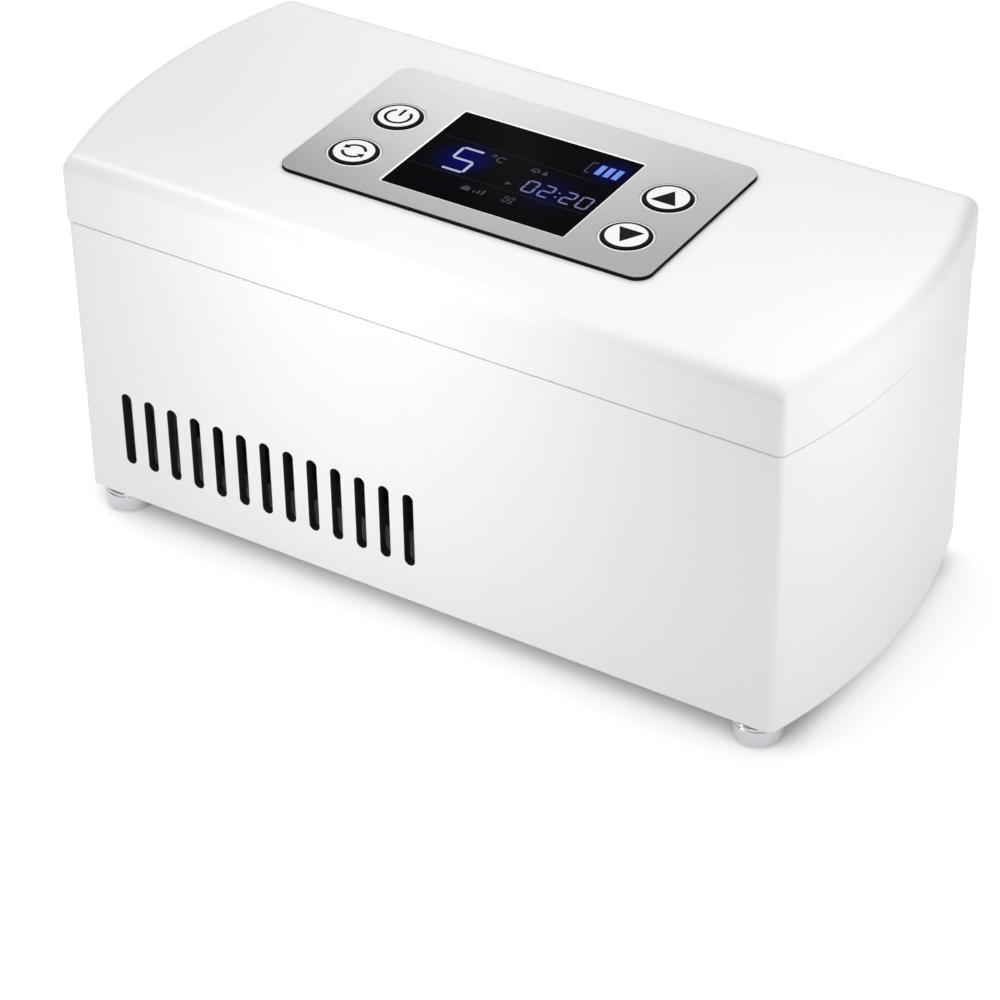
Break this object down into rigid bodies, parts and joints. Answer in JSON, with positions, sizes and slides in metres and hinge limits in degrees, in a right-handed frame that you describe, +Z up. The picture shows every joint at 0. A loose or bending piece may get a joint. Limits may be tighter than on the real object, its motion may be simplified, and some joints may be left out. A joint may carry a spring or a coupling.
{
  "type": "insulin cooling case",
  "caption": "Small box-shaped thermoelectric cooling case with bowed ends, a hinged lid with display and round keys, slotted vents and short metal feet.",
  "frame": {"origin": "on the surface that the feet stand on, under the middle of the case", "axes": "+Z up, +X to the right along the long front, -Y the front with the panel read from there"},
  "size_m": [0.21, 0.0956, 0.1028],
  "materials": {
    "white_case": "satin white moulding",
    "white_inner": "matt white moulding",
    "bright_metal": "turned and plated",
    "foot_rubber": "moulded",
    "chamber_aluminium": "drawn, anodised",
    "sink_aluminium": "extruded",
    "insulation_foam": "closed-cell foam",
    "screw_steel": "plated",
    "magnet_nickel": "nickel plated",
    "ceramic_white": "unglazed",
    "black_plastic": "moulded",
    "cell_wrap": "shrink film",
    "board_green": "solder mask",
    "lead_red": "insulation",
    "lead_black": "insulation",
    "lead_grey": "insulation",
    "silver_panel": "bead-blasted, clear coat",
    "display_glass": "polished dark window",
    "gasket_silicone": "silicone",
    "key_white": "satin"
  },
  "bodies": {
    "body": {"body_shell": "white_case", "base_plate": "white_inner", "foot_front_left": "bright_metal", "foot_front_right": "bright_metal", "foot_rear_left": "bright_metal", "foot_rear_right": "bright_metal", "foot_pad_front_left": "foot_rubber", "foot_pad_front_right": "foot_rubber", "foot_pad_rear_left": "foot_rubber", "foot_pad_rear_right": "foot_rubber", "cold_tray": "chamber_aluminium", "foam_block": "insulation_foam", "chamber_deck": "white_inner", "deck_screw_front_left": "screw_steel", "deck_screw_front_right": "screw_steel", "deck_screw_rear_left": "screw_steel", "deck_screw_rear_right": "screw_steel", "deck_magnet_left": "magnet_nickel", "deck_magnet_right": "magnet_nickel", "hinge_pin_left": "screw_steel", "hinge_pin_right": "screw_steel", "cold_block": "chamber_aluminium", "peltier_module": "ceramic_white", "heat_sink": "sink_aluminium", "fan_frame": "black_plastic", "temperature_probe": "screw_steel", "battery_holder": "black_plastic", "battery_cell_1": "cell_wrap", "battery_cell_2": "cell_wrap", "battery_cell_3": "cell_wrap", "main_board": "board_green", "power_inlet": "black_plastic", "peltier_lead_red": "lead_red", "peltier_lead_black": "lead_black", "fan_lead": "lead_black", "battery_lead": "lead_red", "probe_lead": "lead_grey", "body_lead": "lead_grey"},
    "fan": {"fan_rotor": "black_plastic"},
    "lid": {"lid_cover": "white_case", "control_panel": "silver_panel", "display_lens": "display_glass", "lcd_module": "black_plastic", "display_board": "board_green", "lid_foam": "insulation_foam", "lid_liner": "white_inner", "lid_screw_front_left": "screw_steel", "lid_screw_front_right": "screw_steel", "lid_screw_rear_left": "screw_steel", "lid_screw_rear_right": "screw_steel", "lid_gasket": "gasket_silicone", "lid_magnet_left": "magnet_nickel", "lid_magnet_right": "magnet_nickel", "lid_lead": "lead_grey"},
    "power_key": {"power_button": "key_white"},
    "mode_key": {"mode_button": "key_white"},
    "up_key": {"up_button": "key_white"},
    "down_key": {"down_button": "key_white"}
  },
  "joints": [
    {"name": "lid_hinge", "type": "hinge", "parent": "body", "child": "lid", "pos_m": [0, 0.0446, 0.08375], "axis": [-1, 0, 0], "range_deg": [0, 95]},
    {"name": "fan_spin", "type": "hinge", "parent": "body", "child": "fan", "pos_m": [-0.04244, 0, 0.019], "axis": [0, 0, 1], "continuous": true},
    {"name": "power_press", "type": "slide", "parent": "lid", "child": "power_key", "axis": [0, 0, -1], "range_m": [0, 0.0006], "stiffness_N_per_m": 900, "springref_m": -0.0006},
    {"name": "mode_press", "type": "slide", "parent": "lid", "child": "mode_key", "axis": [0, 0, -1], "range_m": [0, 0.0006], "stiffness_N_per_m": 900, "springref_m": -0.0006},
    {"name": "up_press", "type": "slide", "parent": "lid", "child": "up_key", "axis": [0, 0, -1], "range_m": [0, 0.0006], "stiffness_N_per_m": 900, "springref_m": -0.0006},
    {"name": "down_press", "type": "slide", "parent": "lid", "child": "down_key", "axis": [0, 0, -1], "range_m": [0, 0.0006], "stiffness_N_per_m": 900, "springref_m": -0.0006}
  ]
}
